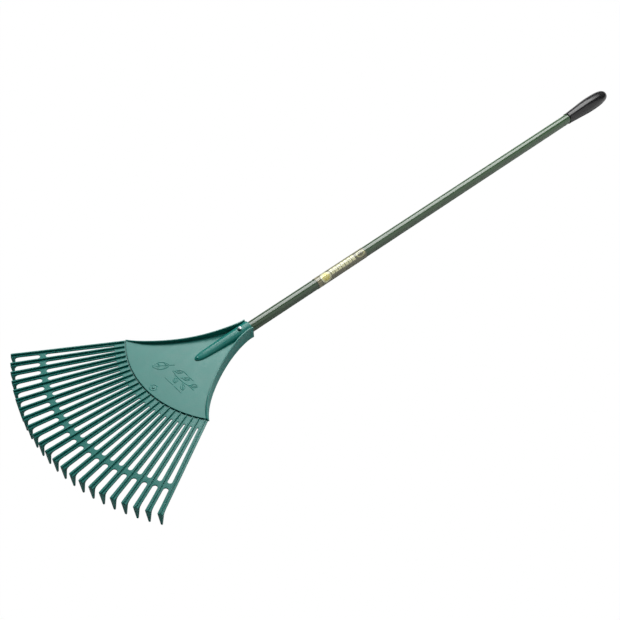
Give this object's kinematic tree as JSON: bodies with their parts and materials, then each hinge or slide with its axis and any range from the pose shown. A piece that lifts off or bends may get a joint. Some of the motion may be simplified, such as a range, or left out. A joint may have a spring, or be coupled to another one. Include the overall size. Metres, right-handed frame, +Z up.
{
  "type": "leaf rake",
  "caption": "Fan-shaped moulded leaf rake with bent teeth, a socketed plate and a cross band, on a straight tube handle with a moulded end grip.",
  "frame": {"origin": "on the ground under the middle of the rake's length, with the outermost teeth and the end grip resting on the ground", "axes": "+Y along the handle from the teeth to the end grip, +Z up out of the ribbed face of the fan, +X across the fan"},
  "size_m": [0.5054, 1.6308, 0.0457],
  "materials": {
    "head_plastic": "semi-gloss moulded green",
    "tube_paint": "gloss green paint on a steel tube",
    "grip_plastic": "satin moulded black",
    "screw_steel": "bright zinc plated",
    "label_film": "dark printed film with pale blocks"
  },
  "bodies": {
    "root": {"head_plate": "head_plastic", "cross_band": "head_plastic", "tine_01": "head_plastic", "tine_02": "head_plastic", "tine_03": "head_plastic", "tine_04": "head_plastic", "tine_05": "head_plastic", "tine_06": "head_plastic", "tine_07": "head_plastic", "tine_08": "head_plastic", "tine_09": "head_plastic", "tine_10": "head_plastic", "tine_11": "head_plastic", "tine_12": "head_plastic", "tine_13": "head_plastic", "tine_14": "head_plastic", "tine_15": "head_plastic", "tine_16": "head_plastic", "tine_17": "head_plastic", "tine_18": "head_plastic", "tine_19": "head_plastic", "tine_20": "head_plastic", "tine_21": "head_plastic", "tine_22": "head_plastic", "tine_23": "head_plastic", "handle_tube": "tube_paint", "end_grip": "grip_plastic", "socket_screw": "screw_steel", "handle_label": "label_film"}
  },
  "joints": []
}
